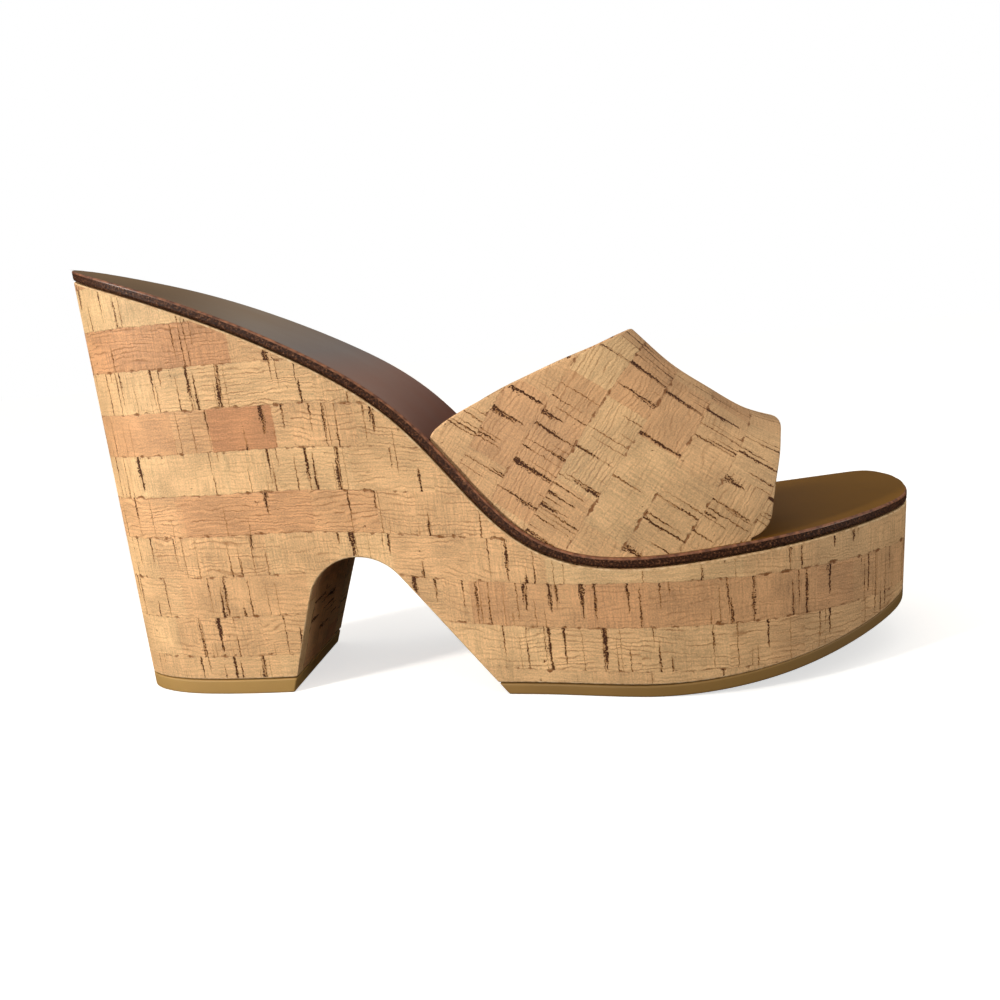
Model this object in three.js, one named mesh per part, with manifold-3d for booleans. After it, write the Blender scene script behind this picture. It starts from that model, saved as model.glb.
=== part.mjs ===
// Platform sandal, right foot: a backless open-toe mule on a cork-wrapped wedge.
// Millimetres, +X towards the toe, +Y towards the inner side of the foot, +Z up.
// Along the shoe every place is a share of a named length, from the heel's back to the toe's tip.

import * as THREE from 'three';
import { mergeVertices } from 'three/addons/utils/BufferGeometryUtils.js';
import Module from 'manifold-3d';

// Driving sizes of the last and the footbed
const LENGTH = 232.5;
const HEEL_HEIGHT = 124;
const PLATFORM_HEIGHT = 37;
const FOOTBED_TOE_LIFT = 6;
const FOOTBED_DISH = 0.8;
const SEAT_WIDTH = 61;
const BALL_WIDTH = 85;

// Driving sizes of the wedge and what it stands on
const HEEL_BASE_WIDTH = 47;
const SOLE_WIDTH = 83;
const HEEL_LEAN = 6;
const TOE_TUCK = 2;
const TOE_SPRING = 13.4;
const SPRING_START = 154;
const HEEL_BASE_LENGTH = 49.5;
const ARCH_END = 115.5;
const ARCH_RADIUS = 15.2;
const BREAST_LEAN = 17;
const ARCH_SLOPE_LEAN = 40;

// Thicknesses and clearances
const INSOLE_THICKNESS = 2.7;
const OUTSOLE_THICKNESS = 3;
const LIFT_THICKNESS = 4.2;
const UPPER_WALL = 2;
const SLOT_RIM = 1.3;
const GAP = 0.3;

// Driving sizes of the band over the foot
const BAND_REAR = 102.5;
const BAND_FRONT = 188;
const BAND_PEAK = 157.5;
const BAND_TIP = 196.5;
const BAND_CORNER = 5;
const LEG_RISE = 0.5;
const INSTEP_HEIGHT = 65;
const TOE_OPENING_HEIGHT = 25;
const CROWN_SHIFT = 1;
const BAND_FULLNESS = 2.4;

// How finely the faceted surfaces are stepped
const STATIONS = 72;
const ACROSS = 6;
const WALL_STEPS = 3;
const BAND_HALF_ROWS = 18;
const BAND_STATIONS = 18;
const ARCH_STEPS = 20;
const END_TURN = 0.006;
const ROW_CROWDING = 1.8;
const DEGREE = Math.PI / 180;
const CUT_OVERRUN = 5;

// The footbed's top line. along: share of the length. climb: share of the rise from platform to heel.
// lift: share of the toe lift.
const FOOTBED = [
  { along: 0.000, climb: 1.000, lift: 0.00 },
  { along: 0.100, climb: 0.914, lift: 0.00 },
  { along: 0.200, climb: 0.806, lift: 0.00 },
  { along: 0.310, climb: 0.657, lift: 0.00 },
  { along: 0.425, climb: 0.421, lift: 0.00 },
  { along: 0.525, climb: 0.115, lift: 0.00 },
  { along: 0.635, climb: 0.000, lift: 0.02 },
  { along: 0.745, climb: 0.000, lift: 0.21 },
  { along: 0.850, climb: 0.000, lift: 0.55 },
  { along: 1.000, climb: 0.000, lift: 1.00 },
];

// The plan outline. follows: the named width that the row follows. outer and inner: half widths
// to the outer and inner side of the foot, as shares of half that width.
const OUTLINE = [
  { along: 0.004, follows: 'seat', outer: 0.30, inner: 0.29 },
  { along: 0.030, follows: 'seat', outer: 0.64, inner: 0.61 },
  { along: 0.080, follows: 'seat', outer: 0.87, inner: 0.85 },
  { along: 0.145, follows: 'seat', outer: 0.98, inner: 0.97 },
  { along: 0.240, follows: 'seat', outer: 1.02, inner: 1.03 },
  { along: 0.345, follows: 'seat', outer: 1.07, inner: 1.08 },
  { along: 0.445, follows: 'ball', outer: 0.77, inner: 0.765 },
  { along: 0.545, follows: 'ball', outer: 0.87, inner: 0.80 },
  { along: 0.645, follows: 'ball', outer: 0.99, inner: 0.91 },
  { along: 0.745, follows: 'ball', outer: 1.015, inner: 0.98 },
  { along: 0.828, follows: 'ball', outer: 0.915, inner: 0.965 },
  { along: 0.899, follows: 'ball', outer: 0.70, inner: 0.945 },
  { along: 0.955, follows: 'ball', outer: 0.425, inner: 0.93 },
  { along: 0.985, follows: 'ball', outer: 0.16, inner: 0.86 },
];
// The toe's tip lies towards the big toe, by this share of half the ball width.
const TOE_TIP = 0.41;

// The foot's instep line over the band. reach: 0 at the band's rear, 1 at its tip.
// height: above the footbed, as a share from the toe opening's height (0) to the instep's (1).
const INSTEP = [
  { reach: 0.00, height: 1.00 },
  { reach: 0.27, height: 1.22 },
  { reach: 0.48, height: 1.01 },
  { reach: 0.59, height: 0.77 },
  { reach: 0.69, height: 0.51 },
  { reach: 0.80, height: 0.29 },
  { reach: 0.90, height: 0.11 },
  { reach: 1.00, height: 0.00 },
];

// The band's two edges from a leg (turn 0) up to the crown (turn 1).
// rear: share of the way from the leg's rear to the peak. front: from the leg's front to the tip.
const BAND_EDGES = [
  { turn: 0.00, rear: 0.00, front: 0.00 },
  { turn: 0.12, rear: 0.16, front: 0.14 },
  { turn: 0.24, rear: 0.33, front: 0.28 },
  { turn: 0.36, rear: 0.53, front: 0.44 },
  { turn: 0.50, rear: 0.75, front: 0.61 },
  { turn: 0.65, rear: 0.89, front: 0.76 },
  { turn: 0.82, rear: 0.97, front: 0.93 },
  { turn: 1.00, rear: 1.00, front: 1.00 },
];

const wasm = await Module();
wasm.setup();

// A smooth curve through knots: the natural cubic spline, with its slope
function smoothCurve(knots) {
  const count = knots.length;
  const bend = new Array(count).fill(0);
  const work = new Array(count).fill(0);
  for (let i = 1; i < count - 1; i += 1) {
    const before = knots[i].at - knots[i - 1].at;
    const after = knots[i + 1].at - knots[i].at;
    const share = before / (before + after);
    const pivot = share * bend[i - 1] + 2;
    const rise = (knots[i + 1].value - knots[i].value) / after;
    const fall = (knots[i].value - knots[i - 1].value) / before;
    bend[i] = (share - 1) / pivot;
    work[i] = (6 * (rise - fall) / (before + after) - share * work[i - 1]) / pivot;
  }
  for (let i = count - 2; i >= 0; i -= 1) {
    bend[i] = bend[i] * bend[i + 1] + work[i];
  }
  bend[count - 1] = 0;
  return function at(position) {
    let i = 0;
    while (i < count - 2 && position > knots[i + 1].at) i += 1;
    const span = knots[i + 1].at - knots[i].at;
    const right = (position - knots[i].at) / span;
    const left = 1 - right;
    const curve = (left ** 3 - left) * bend[i] + (right ** 3 - right) * bend[i + 1];
    return left * knots[i].value + right * knots[i + 1].value + curve * span * span / 6;
  };
}

// Footbed and ground lines

const climbRange = HEEL_HEIGHT - PLATFORM_HEIGHT;
const footbedCurve = smoothCurve(FOOTBED.map((row) => ({
  at: row.along * LENGTH,
  value: PLATFORM_HEIGHT + row.climb * climbRange + row.lift * FOOTBED_TOE_LIFT,
})));

function footbedTop(x) {
  return footbedCurve(THREE.MathUtils.clamp(x, 0, LENGTH));
}

// How much taller a layer of a given thickness measures upright where the footbed slopes
function slopeFactor(x) {
  const step = 0.5;
  const slope = (footbedTop(x + step) - footbedTop(x - step)) / (2 * step);
  return Math.sqrt(1 + slope * slope);
}

function insoleUnderside(x) {
  return footbedTop(x) - INSOLE_THICKNESS * slopeFactor(x);
}

function wedgeTop(x) {
  return footbedTop(x) - (INSOLE_THICKNESS + GAP) * slopeFactor(x);
}

// The ground line is flat under heel and ball, and springs up under the toes
const SPRING_POWER = 1.8;
const toeBase = LENGTH - TOE_TUCK;

function groundLine(x) {
  const share = Math.max(0, (x - SPRING_START) / (toeBase - SPRING_START));
  return TOE_SPRING * share ** SPRING_POWER;
}

// Plan outline: half widths run in a turn variable, so that both ends close as round curves
function turnOf(along) {
  return Math.acos(1 - 2 * THREE.MathUtils.clamp(along, 0, 1)) / Math.PI;
}

function alongOf(turn) {
  return (1 - Math.cos(Math.PI * turn)) / 2;
}

function outlineSide(side, widths) {
  const tip = (side === 'inner' ? 1 : -1) * TOE_TIP * widths.ball / 2;
  const knots = OUTLINE.map((row) => ({
    at: turnOf(row.along),
    value: row[side] * widths[row.follows] / 2,
  }));
  return smoothCurve([{ at: 0, value: 0 }, ...knots, { at: 1, value: tip }]);
}

const topWidths = { seat: SEAT_WIDTH, ball: BALL_WIDTH };
const groundWidths = { seat: HEEL_BASE_WIDTH, ball: SOLE_WIDTH };
const OUTLINES = {
  outer: { top: outlineSide('outer', topWidths), ground: outlineSide('outer', groundWidths), sign: -1 },
  inner: { top: outlineSide('inner', topWidths), ground: outlineSide('inner', groundWidths), sign: 1 },
};

// The side wall is ruled from the ground outline up to the footbed's edge, at one turn
function rulingAt(side, turn) {
  const outline = OUTLINES[side];
  const groundX = HEEL_LEAN + alongOf(turn) * (toeBase - HEEL_LEAN);
  const topX = alongOf(turn) * LENGTH;
  return {
    ground: new THREE.Vector3(groundX, outline.sign * outline.ground(turn), groundLine(groundX)),
    top: new THREE.Vector3(topX, outline.sign * outline.top(turn), footbedTop(topX)),
  };
}

function pointOnWall(ruling, height) {
  const share = (height - ruling.ground.z) / (ruling.top.z - ruling.ground.z);
  return new THREE.Vector3().lerpVectors(ruling.ground, ruling.top, share);
}

// Meshes and solids

function solidFromGeometry(geometry) {
  const bare = geometry.clone();
  bare.deleteAttribute('normal');
  bare.deleteAttribute('uv');
  const merged = mergeVertices(bare, 1e-4);
  return new wasm.Manifold(new wasm.Mesh({
    numProp: 3,
    vertProperties: new Float32Array(merged.attributes.position.array),
    triVerts: new Uint32Array(merged.index.array),
  }));
}

function solidFromLists(points, index) {
  const geometry = new THREE.BufferGeometry();
  geometry.setFromPoints(points);
  geometry.setIndex(index);
  return solidFromGeometry(geometry);
}

// A loft through upright rings, each running up the outer side, across the top,
// down the inner side and back under. The rings follow each other towards the toe.
function loft(rings) {
  const size = rings[0].length;
  const index = [];
  for (let r = 0; r < rings.length - 1; r += 1) {
    for (let i = 0; i < size; i += 1) {
      const a = r * size + i;
      const b = r * size + (i + 1) % size;
      index.push(a, b + size, b, a, a + size, b + size);
    }
  }
  closeRing(0, size, index, false);
  closeRing((rings.length - 1) * size, size, index, true);
  return solidFromLists(rings.flat(), index);
}

// A ring's end is closed by a ladder of rungs between the loop's two halves
function closeRing(first, size, index, facesToe) {
  const addFace = (a, b, c) => {
    if (facesToe) index.push(first + a, first + c, first + b);
    else index.push(first + a, first + b, first + c);
  };
  for (let low = 0, high = size - 1; low + 1 < high; low += 1, high -= 1) {
    addFace(low, low + 1, high);
    if (low + 1 < high - 1) addFace(low + 1, high - 1, high);
  }
}

// A shell between two grids of points that share their rows and stations
function shell(outside, inside) {
  const rows = outside.length;
  const columns = outside[0].length;
  const offset = rows * columns;
  const index = [];
  const addQuad = (a, b, c, d) => index.push(a, b, c, a, c, d);
  for (let r = 0; r < rows - 1; r += 1) {
    for (let s = 0; s < columns - 1; s += 1) {
      const a = r * columns + s;
      const b = a + columns;
      addQuad(a, a + 1, b + 1, b);
      addQuad(offset + a, offset + b, offset + b + 1, offset + a + 1);
    }
  }
  for (let s = 0; s < columns - 1; s += 1) {
    const far = (rows - 1) * columns + s;
    addQuad(s, offset + s, offset + s + 1, s + 1);
    addQuad(far, far + 1, offset + far + 1, offset + far);
  }
  for (let r = 0; r < rows - 1; r += 1) {
    const rear = r * columns;
    const front = rear + columns - 1;
    addQuad(rear, rear + columns, offset + rear + columns, offset + rear);
    addQuad(front, offset + front, offset + front + columns, front + columns);
  }
  return solidFromLists([...outside.flat(), ...inside.flat()], index);
}

function meshFromSolid(name, solid, material) {
  const result = solid.getMesh();
  const geometry = new THREE.BufferGeometry();
  geometry.setAttribute('position', new THREE.BufferAttribute(new Float32Array(result.vertProperties), 3));
  geometry.setIndex(new THREE.BufferAttribute(new Uint32Array(result.triVerts), 1));
  geometry.computeVertexNormals();
  const mesh = new THREE.Mesh(geometry, material);
  mesh.name = name;
  return mesh;
}

// Layers of the sole

// A layer between two heights, lofted from heel to toe through upright sections.
// low and high give its heights at a ruling. dish is how far its top sinks midway along and across.
function layer({ low, high, dish = 0, from = 0, to = 1 }) {
  const rings = [];
  const steps = Math.round(STATIONS * (to - from));
  for (let k = 0; k <= steps; k += 1) {
    const turn = THREE.MathUtils.clamp(from + (to - from) * k / steps, END_TURN, 1 - END_TURN);
    rings.push(layerRing(turn, low, high, dish));
  }
  return loft(rings);
}

function layerRing(turn, low, high, dish) {
  const outer = rulingAt('outer', turn);
  const inner = rulingAt('inner', turn);
  const bottom = low(outer);
  const top = high(outer);
  const wall = (ruling) => {
    const points = [];
    for (let i = 0; i <= WALL_STEPS; i += 1) {
      points.push(pointOnWall(ruling, bottom + (top - bottom) * i / WALL_STEPS));
    }
    return points;
  };
  const outerWall = wall(outer);
  const innerWall = wall(inner).reverse();
  const topLine = between(outerWall[WALL_STEPS], innerWall[0]);
  topLine.forEach((point, i) => {
    const fromMiddle = 2 * (i + 1) / ACROSS - 1;
    point.z -= dish * Math.sin(Math.PI * turn) * (1 - fromMiddle * fromMiddle);
  });
  const bottomLine = between(innerWall[WALL_STEPS], outerWall[0]);
  return [...outerWall, ...topLine, ...innerWall, ...bottomLine];
}

// The points inside a straight line across the shoe
function between(start, end) {
  const points = [];
  for (let i = 1; i < ACROSS; i += 1) {
    points.push(new THREE.Vector3().lerpVectors(start, end, i / ACROSS));
  }
  return points;
}

// The opening between heel and forefoot: two straight sides joined by a round top, cut right across
function archCutter() {
  const breastX = HEEL_LEAN + HEEL_BASE_LENGTH;
  const breast = new THREE.Vector2(Math.sin(BREAST_LEAN * DEGREE), Math.cos(BREAST_LEAN * DEGREE));
  const slope = new THREE.Vector2(-Math.sin(ARCH_SLOPE_LEAN * DEGREE), Math.cos(ARCH_SLOPE_LEAN * DEGREE));
  const corner = new THREE.Vector2(ARCH_END, OUTSOLE_THICKNESS);
  // Both sides run on until they meet at the apex
  const run = ((corner.x - breastX) * slope.y - corner.y * slope.x)
    / (breast.x * slope.y - breast.y * slope.x);
  const apex = new THREE.Vector2(breastX, 0).addScaledVector(breast, run);
  const halfAngle = (BREAST_LEAN + ARCH_SLOPE_LEAN) / 2 * DEGREE;
  const toTangent = ARCH_RADIUS / Math.tan(halfAngle);
  const rearTangent = apex.clone().addScaledVector(breast, -toTangent);
  const centre = rearTangent.clone().add(new THREE.Vector2(breast.y, -breast.x).multiplyScalar(ARCH_RADIUS));
  const start = Math.PI - BREAST_LEAN * DEGREE;
  const end = ARCH_SLOPE_LEAN * DEGREE;
  const shape = new THREE.Shape();
  shape.moveTo(ARCH_END, -CUT_OVERRUN);
  shape.lineTo(ARCH_END, corner.y);
  shape.absarc(centre.x, centre.y, ARCH_RADIUS, end, start, false);
  shape.lineTo(breastX - CUT_OVERRUN * breast.x / breast.y, -CUT_OVERRUN);
  const width = 2 * BALL_WIDTH;
  const geometry = new THREE.ExtrudeGeometry(shape, {
    depth: width, bevelEnabled: false, curveSegments: ARCH_STEPS,
  });
  geometry.rotateX(Math.PI / 2);
  geometry.translate(0, width / 2, 0);
  return solidFromGeometry(geometry);
}

// The band over the foot

const OPPOSITE = { outer: 'inner', inner: 'outer' };

// A leg's outside face stands in from the footbed's edge by the slot's rim and a clearance.
// inset moves the point further in, square to that edge in plan.
function legPoint(side, x, height, inset) {
  const sign = OUTLINES[side].sign;
  const edge = (at) => sign * OUTLINES[side].top(turnOf(at / LENGTH));
  const step = 0.5;
  const slope = (edge(x + step) - edge(x - step)) / (2 * step);
  const outward = new THREE.Vector2(-slope * sign, sign).normalize();
  const depth = SLOT_RIM + GAP + inset;
  return new THREE.Vector3(x - outward.x * depth, edge(x) - outward.y * depth, height);
}

const bandReach = BAND_TIP - BAND_REAR;
const instepCurve = smoothCurve(INSTEP.map((row) => ({ at: row.reach, value: row.height })));

function instepLine(x) {
  const share = instepCurve(THREE.MathUtils.clamp((x - BAND_REAR) / bandReach, 0, 1));
  return footbedTop(x) + TOE_OPENING_HEIGHT + share * (INSTEP_HEIGHT - TOE_OPENING_HEIGHT);
}

const rearCurve = smoothCurve(BAND_EDGES.map((row) => ({ at: row.turn, value: row.rear })));
const frontCurve = smoothCurve(BAND_EDGES.map((row) => ({ at: row.turn, value: row.front })));

// Height of the band's section over the footbed, as a share of the crown's
function riseOf(turn) {
  return Math.sin(turn * Math.PI / 2) ** (2 / BAND_FULLNESS);
}

// The lower front corner of each leg is rounded
function cornerCut(turn) {
  const height = riseOf(turn) * (instepLine(BAND_FRONT) - footbedTop(BAND_FRONT));
  if (height >= BAND_CORNER) return 0;
  return BAND_CORNER - Math.sqrt(BAND_CORNER ** 2 - (BAND_CORNER - height) ** 2);
}

function bandX(turn, share) {
  const rear = BAND_REAR + rearCurve(turn) * (BAND_PEAK - BAND_REAR);
  const front = BAND_FRONT + frontCurve(turn) * (BAND_TIP - BAND_FRONT) - cornerCut(turn);
  return rear + (front - rear) * share;
}

// A section of the band is a full round arch between its legs, with the crown towards the big toe.
// The legs stand straight for a small rise over the footbed before they lean in.
function bandPoint(side, turn, share) {
  const x = bandX(turn, share);
  const base = footbedTop(x) + LEG_RISE;
  const edge = legPoint(side, x, base, 0);
  const opposite = legPoint(OPPOSITE[side], x, base, 0);
  const middle = (edge.y + opposite.y) / 2 + CROWN_SHIFT;
  const sway = turn < 1 ? Math.cos(turn * Math.PI / 2) ** (2 / BAND_FULLNESS) : 0;
  return new THREE.Vector3(
    x + (edge.x - x) * sway,
    middle + (edge.y - middle) * sway,
    base + riseOf(turn) * (instepLine(x) - base),
  );
}

function legRow(side, height, inset) {
  const row = [];
  for (let s = 0; s <= BAND_STATIONS; s += 1) {
    const x = bandX(0, s / BAND_STATIONS);
    row.push(legPoint(side, x, height(x), inset));
  }
  return row;
}

function legFoot(x) {
  return wedgeTop(x) + GAP * slopeFactor(x);
}

function bandOutside() {
  const rows = [];
  const arch = (side, k) => {
    const turn = (k / BAND_HALF_ROWS) ** ROW_CROWDING;
    const row = [];
    for (let s = 0; s <= BAND_STATIONS; s += 1) row.push(bandPoint(side, turn, s / BAND_STATIONS));
    return row;
  };
  rows.push(legRow('outer', legFoot, 0));
  for (let k = 0; k <= BAND_HALF_ROWS; k += 1) rows.push(arch('outer', k));
  for (let k = BAND_HALF_ROWS - 1; k >= 0; k -= 1) rows.push(arch('inner', k));
  rows.push(legRow('inner', legFoot, 0));
  return rows;
}

// The inside grid lies one wall thickness in, square to the outside surface
function offsetGrid(rows, depth) {
  const clampIndex = (i, size) => Math.min(Math.max(i, 0), size - 1);
  return rows.map((row, r) => row.map((point, s) => {
    const up = rows[clampIndex(r + 1, rows.length)][s];
    const down = rows[clampIndex(r - 1, rows.length)][s];
    const fore = row[clampIndex(s + 1, row.length)];
    const back = row[clampIndex(s - 1, row.length)];
    const acrossBand = new THREE.Vector3().subVectors(up, down);
    const alongBand = new THREE.Vector3().subVectors(fore, back);
    const outward = new THREE.Vector3().crossVectors(alongBand, acrossBand).normalize();
    return point.clone().addScaledVector(outward, -depth);
  }));
}

function bandSolid() {
  const outside = bandOutside();
  const inside = offsetGrid(outside, UPPER_WALL);
  // The legs' inner faces stand straight down, as the slots do
  inside[0] = legRow('outer', legFoot, UPPER_WALL);
  inside[inside.length - 1] = legRow('inner', legFoot, UPPER_WALL);
  return shell(outside, inside);
}

// A slot takes one leg with a clearance all round, and goes right through the insole.
// It is stepped where the leg is, so that their facets lie side by side.
function slotCutter(side) {
  const rings = [];
  for (let s = 0; s <= BAND_STATIONS; s += 1) {
    const atEnd = Math.sign(s / BAND_STATIONS - 0.5) * Number(s === 0 || s === BAND_STATIONS);
    const x = bandX(0, s / BAND_STATIONS) + atEnd * GAP;
    const insets = side === 'outer' ? [-GAP, UPPER_WALL + GAP] : [UPPER_WALL + GAP, -GAP];
    const low = insoleUnderside(x) - CUT_OVERRUN;
    const high = footbedTop(x) + CUT_OVERRUN;
    rings.push([
      legPoint(side, x, low, insets[0]),
      legPoint(side, x, high, insets[0]),
      legPoint(side, x, high, insets[1]),
      legPoint(side, x, low, insets[1]),
    ]);
  }
  return loft(rings);
}

// The pieces

const cork = new THREE.MeshStandardMaterial({ color: 0xd9b182, roughness: 0.75, metalness: 0 });
const bandCork = new THREE.MeshStandardMaterial({ color: 0xdab284, roughness: 0.75, metalness: 0 });
const footbedLeather = new THREE.MeshStandardMaterial({ color: 0x5e4326, roughness: 0.45, metalness: 0 });
const soleRubber = new THREE.MeshStandardMaterial({ color: 0xb08a58, roughness: 0.6, metalness: 0 });

const arch = archCutter();
const archMiddle = (HEEL_LEAN + HEEL_BASE_LENGTH + ARCH_END) / 2;
const archTurn = turnOf((archMiddle - HEEL_LEAN) / (toeBase - HEEL_LEAN));

const wedge = layer({
  low: (ruling) => ruling.ground.z + GAP
    + (ruling.ground.x < archMiddle ? LIFT_THICKNESS : OUTSOLE_THICKNESS),
  high: (ruling) => wedgeTop(ruling.top.x),
}).subtract(arch);

const heelLift = layer({
  low: (ruling) => ruling.ground.z,
  high: (ruling) => ruling.ground.z + LIFT_THICKNESS,
  to: archTurn,
}).subtract(arch);

const outsole = layer({
  low: (ruling) => ruling.ground.z,
  high: (ruling) => ruling.ground.z + OUTSOLE_THICKNESS,
  from: archTurn,
}).subtract(arch);

const insole = layer({
  low: (ruling) => insoleUnderside(ruling.top.x),
  high: (ruling) => ruling.top.z,
  dish: FOOTBED_DISH,
}).subtract(slotCutter('outer')).subtract(slotCutter('inner'));

const sandal = new THREE.Group();
sandal.add(meshFromSolid('wedge', wedge, cork));
sandal.add(meshFromSolid('heel_lift', heelLift, soleRubber));
sandal.add(meshFromSolid('outsole', outsole, soleRubber));
sandal.add(meshFromSolid('insole', insole, footbedLeather));
sandal.add(meshFromSolid('upper', bandSolid(), bandCork));

// The origin is on the ground under the middle of the whole sandal
const bounds = new THREE.Box3().setFromObject(sandal);
const middle = bounds.getCenter(new THREE.Vector3());
sandal.position.set(-middle.x, -middle.y, -bounds.min.z);

export default sandal;
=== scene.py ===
# %% [markdown]
# # A cork platform sandal
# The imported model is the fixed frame: it says where each piece of the shoe is and how big.
# This lesson models the same five pieces again with soft edges and fine surfaces, and then
# dresses them in cork, leather and rubber. Blender works in metres. The shoe's own sizes are
# kept in millimetres, as a shoemaker would write them, and turned into metres at the end.

import math

import bpy
from mathutils import Matrix, Vector


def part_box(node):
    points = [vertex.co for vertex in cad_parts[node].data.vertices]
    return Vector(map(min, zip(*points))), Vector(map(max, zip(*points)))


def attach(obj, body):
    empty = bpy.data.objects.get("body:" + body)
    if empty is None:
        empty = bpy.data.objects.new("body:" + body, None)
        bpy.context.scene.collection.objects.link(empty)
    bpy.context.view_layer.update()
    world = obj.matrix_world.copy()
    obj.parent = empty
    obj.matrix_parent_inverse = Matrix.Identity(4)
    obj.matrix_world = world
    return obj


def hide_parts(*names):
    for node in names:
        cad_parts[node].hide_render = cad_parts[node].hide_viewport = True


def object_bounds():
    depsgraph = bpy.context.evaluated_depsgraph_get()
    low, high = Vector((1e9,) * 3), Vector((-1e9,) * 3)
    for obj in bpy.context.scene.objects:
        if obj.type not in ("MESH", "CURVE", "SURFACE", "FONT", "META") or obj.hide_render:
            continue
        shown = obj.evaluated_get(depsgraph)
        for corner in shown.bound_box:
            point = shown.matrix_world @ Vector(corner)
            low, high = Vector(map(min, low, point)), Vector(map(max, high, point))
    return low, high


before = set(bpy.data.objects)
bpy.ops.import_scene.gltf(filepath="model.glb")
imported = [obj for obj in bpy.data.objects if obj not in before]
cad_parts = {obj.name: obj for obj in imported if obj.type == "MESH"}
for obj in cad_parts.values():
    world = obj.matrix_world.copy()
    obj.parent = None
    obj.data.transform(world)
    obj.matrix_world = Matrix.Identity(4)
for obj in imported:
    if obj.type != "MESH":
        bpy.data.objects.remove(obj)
cad_low, cad_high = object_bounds()
MM = 0.001
print("CAD box in mm:", [round(side / MM, 1) for side in cad_high - cad_low])

# %% [markdown]
# ## Camera
# The camera stands a hand's breadth above the floor on the outer side of the shoe, turned a little
# towards the heel and rolled by five degrees, as the photograph was taken. Its position and turns
# are values found by matching the shoe's outline, so they are written down and not computed.

# %% Camera
CAMERA_PLACE = Vector((34.2, -293.9, 93.7)) * MM
CAMERA_YAW = math.radians(-6.66)
CAMERA_PITCH = math.radians(8.9)
CAMERA_ROLL = math.radians(5.09)
FOCAL_LENGTH = 36.89

forward = Vector((
    math.sin(CAMERA_YAW) * math.cos(CAMERA_PITCH),
    math.cos(CAMERA_YAW) * math.cos(CAMERA_PITCH),
    -math.sin(CAMERA_PITCH),
))
level_right = Vector((math.cos(CAMERA_YAW), -math.sin(CAMERA_YAW), 0))
level_down = forward.cross(level_right)
right = math.cos(CAMERA_ROLL) * level_right + math.sin(CAMERA_ROLL) * level_down
down = math.cos(CAMERA_ROLL) * level_down - math.sin(CAMERA_ROLL) * level_right

bpy.ops.object.select_all(action="DESELECT")
bpy.ops.object.camera_add(location=CAMERA_PLACE)
camera = bpy.context.object
camera.name = "camera"
turned = Matrix((right, -down, -forward)).transposed()
camera.matrix_world = Matrix.Translation(CAMERA_PLACE) @ turned.to_4x4()
camera.data.lens = FOCAL_LENGTH
camera.data.clip_start = 0.01
bpy.context.scene.camera = camera
print("camera at", [round(value, 3) for value in camera.location])

# %% [markdown]
# ## The last, in numbers
# A shoemaker works from a last: its length, its heel height, its widths, and a few curves between
# them. The curves are short tables of shares, run through smoothly. All five pieces come from
# these same curves, which is why they fit each other.

# %% Driving sizes in millimetres
LENGTH, HEEL_HEIGHT, PLATFORM_HEIGHT, TOE_LIFT = 232.5, 124.0, 37.0, 6.0
SEAT_WIDTH, BALL_WIDTH = 61.0, 85.0
HEEL_BASE_WIDTH, SOLE_WIDTH = 47.0, 83.0
HEEL_LEAN, TOE_TUCK = 6.0, 2.0
TOE_SPRING, SPRING_START, SPRING_POWER = 13.4, 154.0, 1.8
HEEL_BASE_LENGTH, ARCH_END, ARCH_RADIUS = 49.5, 115.5, 15.2
BREAST_LEAN, ARCH_SLOPE_LEAN = math.radians(17), math.radians(40)
INSOLE_THICKNESS, OUTSOLE_THICKNESS, LIFT_THICKNESS = 2.7, 3.0, 4.2
UPPER_WALL, SLOT_RIM, GAP, FOOTBED_DISH = 2.0, 1.3, 0.3, 0.8
BAND_REAR, BAND_FRONT, BAND_PEAK, BAND_TIP = 102.5, 188.0, 157.5, 196.5
BAND_CORNER, LEG_RISE, CROWN_SHIFT, BAND_FULLNESS = 5.0, 0.5, 1.0, 2.4
INSTEP_HEIGHT, TOE_OPENING_HEIGHT = 65.0, 25.0
TOE_TIP = 0.41
TOE_BASE = LENGTH - TOE_TUCK
END_TURN = 0.006

# %% Tables of shares
# along the length, climb from platform to heel, share of the toe lift
FOOTBED = [
    (0.000, 1.000, 0.00), (0.100, 0.914, 0.00), (0.200, 0.806, 0.00), (0.310, 0.657, 0.00),
    (0.425, 0.421, 0.00), (0.525, 0.115, 0.00), (0.635, 0.000, 0.02), (0.745, 0.000, 0.21),
    (0.850, 0.000, 0.55), (1.000, 0.000, 1.00),
]
# along the length, the width that the row follows, outer half, inner half
OUTLINE = [
    (0.004, "seat", 0.30, 0.29), (0.030, "seat", 0.64, 0.61), (0.080, "seat", 0.87, 0.85),
    (0.145, "seat", 0.98, 0.97), (0.240, "seat", 1.02, 1.03), (0.345, "seat", 1.07, 1.08),
    (0.445, "ball", 0.77, 0.765), (0.545, "ball", 0.87, 0.80), (0.645, "ball", 0.99, 0.91),
    (0.745, "ball", 1.015, 0.98), (0.828, "ball", 0.915, 0.965), (0.899, "ball", 0.70, 0.945),
    (0.955, "ball", 0.425, 0.93), (0.985, "ball", 0.16, 0.86),
]
# reach from the band's rear to its tip, height from toe opening to instep
INSTEP = [
    (0.00, 1.00), (0.27, 1.22), (0.48, 1.01), (0.59, 0.77), (0.69, 0.51), (0.80, 0.29),
    (0.90, 0.11), (1.00, 0.00),
]
# turn from a leg to the crown, the rear edge's way to the peak, the front edge's way to the tip
BAND_EDGES = [
    (0.00, 0.00, 0.00), (0.12, 0.16, 0.14), (0.24, 0.33, 0.28), (0.36, 0.53, 0.44),
    (0.50, 0.75, 0.61), (0.65, 0.89, 0.76), (0.82, 0.97, 0.93), (1.00, 1.00, 1.00),
]


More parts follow.
